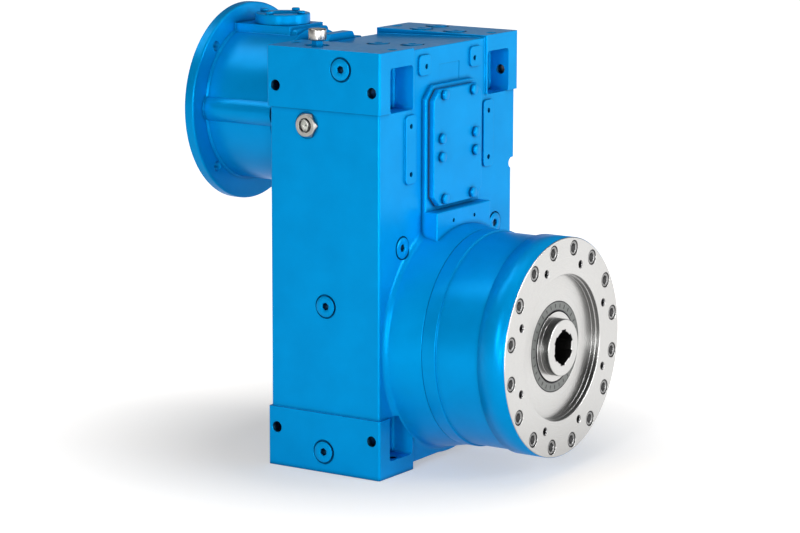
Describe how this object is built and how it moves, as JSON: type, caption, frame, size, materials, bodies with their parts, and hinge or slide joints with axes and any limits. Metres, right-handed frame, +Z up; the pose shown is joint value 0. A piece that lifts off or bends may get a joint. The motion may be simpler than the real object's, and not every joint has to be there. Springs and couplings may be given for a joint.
{
  "type": "bevel helical gearbox",
  "caption": "Upright extruder gearbox: in-line bevel input, two helical stages, thrust bearing barrel, hollow splined output and foot mounting on four sides",
  "frame": {"origin": "centre of the four base bolt holes, on the floor face of the feet", "axes": "+X runs along the output shaft towards its flange, +Z is up, +Y is across, away from the sight glass"},
  "size_m": [0.666, 0.438, 0.769],
  "materials": {
    "paint": "sky blue enamel over cast iron, satin gloss with a faint cast texture",
    "bare_steel": "turned bare steel with fine concentric tool marks",
    "black_screw": "black oxide socket screws",
    "seal_rubber": "dark grey seal rubber",
    "gasket": "dark sealing sheet",
    "zinc_plated": "zinc plated steel",
    "sight_glass": "clear sight window",
    "bearing_brass": "machined brass",
    "bearing_steel": "ground bearing steel",
    "gear_steel": "ground gear steel"
  },
  "bodies": {
    "housing": {"gear_case": "paint", "rear_plate": "paint", "inspection_cover": "paint", "thrust_housing": "paint", "input_lantern": "paint", "cross_bearing_cap": "paint", "oil_plugs": "paint", "cover_bolts": "paint", "lantern_bolts": "paint", "cap_bolts": "paint", "breather_neck": "paint", "extruder_flange": "bare_steel", "bearing_carrier": "bare_steel", "flange_screws": "black_screw", "rear_plate_screws": "black_screw", "carrier_screws": "black_screw", "output_seal": "seal_rubber", "rear_seal": "seal_rubber", "cover_gasket": "gasket", "plug_washers": "gasket", "breather_cap": "zinc_plated", "sight_glass_body": "zinc_plated", "sight_glass_lens": "sight_glass", "thrust_housing_washer": "bearing_steel", "output_rear_outer_ring": "bearing_steel", "output_front_outer_ring": "bearing_steel", "second_outer_rings": "bearing_steel", "first_outer_rings": "bearing_steel", "input_outer_ring": "bearing_steel", "cross_outer_rings": "bearing_steel"},
    "output_line": {"output_shaft": "bare_steel", "output_wheel": "gear_steel", "output_key": "gear_steel", "output_retaining_ring": "gear_steel", "thrust_shaft_washer": "bearing_steel", "thrust_rollers": "bearing_steel", "thrust_cage": "bearing_brass", "output_rear_inner_ring": "bearing_steel", "output_rear_balls": "bearing_steel", "output_front_inner_ring": "bearing_steel", "output_front_balls": "bearing_steel"},
    "second_line": {"second_shaft": "gear_steel", "second_wheel": "gear_steel", "second_key": "gear_steel", "second_spacer": "gear_steel", "second_inner_rings": "bearing_steel", "second_balls": "bearing_steel"},
    "first_line": {"first_shaft": "gear_steel", "first_bevel_gear": "gear_steel", "first_key": "gear_steel", "pilot_bush": "bearing_brass", "first_inner_rings": "bearing_steel", "first_balls": "bearing_steel"},
    "cross_line": {"cross_shaft": "gear_steel", "cross_inner_rings": "bearing_steel", "cross_balls": "bearing_steel"},
    "input_line": {"input_quill": "bare_steel", "input_inner_ring": "bearing_steel", "input_balls": "bearing_steel"}
  },
  "joints": [
    {"name": "output_spin", "type": "hinge", "parent": "housing", "child": "output_line", "pos_m": [0, 0, 0.22], "axis": [1, 0, 0], "continuous": true},
    {"name": "second_spin", "type": "hinge", "parent": "housing", "child": "second_line", "pos_m": [0, 0, 0.415], "axis": [1, 0, 0], "continuous": true},
    {"name": "first_spin", "type": "hinge", "parent": "housing", "child": "first_line", "pos_m": [0, 0, 0.594], "axis": [1, 0, 0], "continuous": true},
    {"name": "cross_spin", "type": "hinge", "parent": "housing", "child": "cross_line", "pos_m": [-0.237, 0, 0.594], "axis": [0, 0, 1], "continuous": true},
    {"name": "input_spin", "type": "hinge", "parent": "housing", "child": "input_line", "pos_m": [-0.237, 0, 0.594], "axis": [1, 0, 0], "continuous": true}
  ],
  "couplings": [
    {"joint": "second_spin", "follows": "output_spin", "ratio": -3.3333},
    {"joint": "first_spin", "follows": "output_spin", "ratio": 11.458},
    {"joint": "cross_spin", "follows": "output_spin", "ratio": -11.458},
    {"joint": "input_spin", "follows": "output_spin", "ratio": -11.458}
  ]
}
